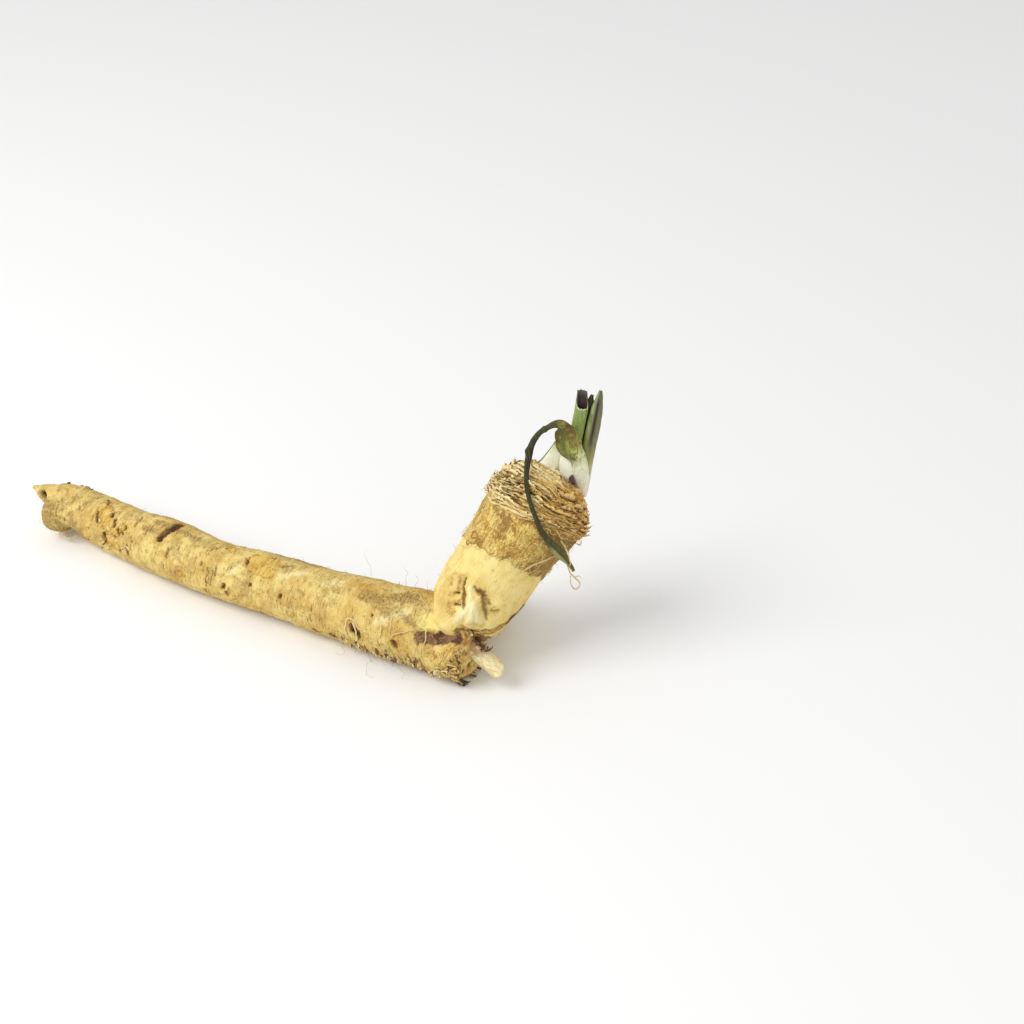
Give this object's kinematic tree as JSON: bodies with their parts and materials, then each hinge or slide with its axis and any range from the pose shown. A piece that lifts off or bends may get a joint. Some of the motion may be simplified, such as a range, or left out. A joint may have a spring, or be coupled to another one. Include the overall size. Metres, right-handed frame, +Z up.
{
  "type": "horseradish root",
  "caption": "Dug horseradish root with a thick upright crown, trimmed side roots and a small tuft of cut and withered leaf stalks, lying on a surface.",
  "frame": {"origin": "on the surface it lies on, under the middle of its bounding box", "axes": "+X along the old root from its snapped left end to the crown, +Y to the back, +Z up"},
  "size_m": [0.3028, 0.1006, 0.129],
  "materials": {
    "root_skin": "matte pale tan root skin with brown and orange patches",
    "white_leaf_base": "satin white leaf base",
    "green_stalk": "satin green leaf stalk",
    "grey_green_stalk": "satin grey-green leaf stalk",
    "withered_leaf": "matte dark withered leaf"
  },
  "bodies": {
    "root": {"root": "root_skin", "leaf_sheath": "white_leaf_base", "leaf_stalk_middle": "green_stalk", "leaf_stalk_right": "grey_green_stalk", "withered_leaf": "withered_leaf"}
  },
  "joints": []
}
